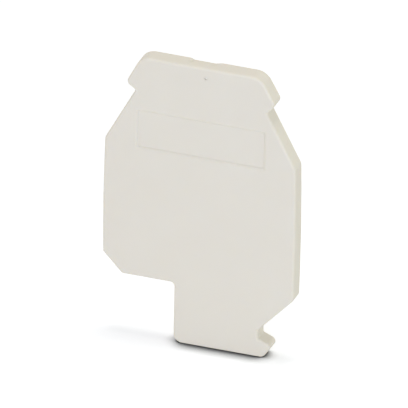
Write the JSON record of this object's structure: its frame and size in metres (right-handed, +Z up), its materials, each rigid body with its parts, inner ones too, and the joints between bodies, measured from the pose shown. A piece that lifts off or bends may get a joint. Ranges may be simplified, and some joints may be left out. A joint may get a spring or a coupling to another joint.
{
  "type": "terminal block end cover",
  "caption": "Flat moulded end cover for a rail terminal block, with a hooked cap, a stepped foot with a rail lip, a hollow back and round pegs.",
  "frame": {"origin": "half way between the plate's two long sides, at the bottom of the foot, half way through the plate's thickness", "axes": "+X to the right seen from the front, +Z up from the foot to the cap, -Y out of the front face, +Y out of the hollow back along the pegs"},
  "size_m": [0.028, 0.0052, 0.043],
  "materials": {
    "polyamide": "fine matt moulded surface, off-white"
  },
  "bodies": {
    "root": {"end_cover": "polyamide"}
  },
  "joints": []
}
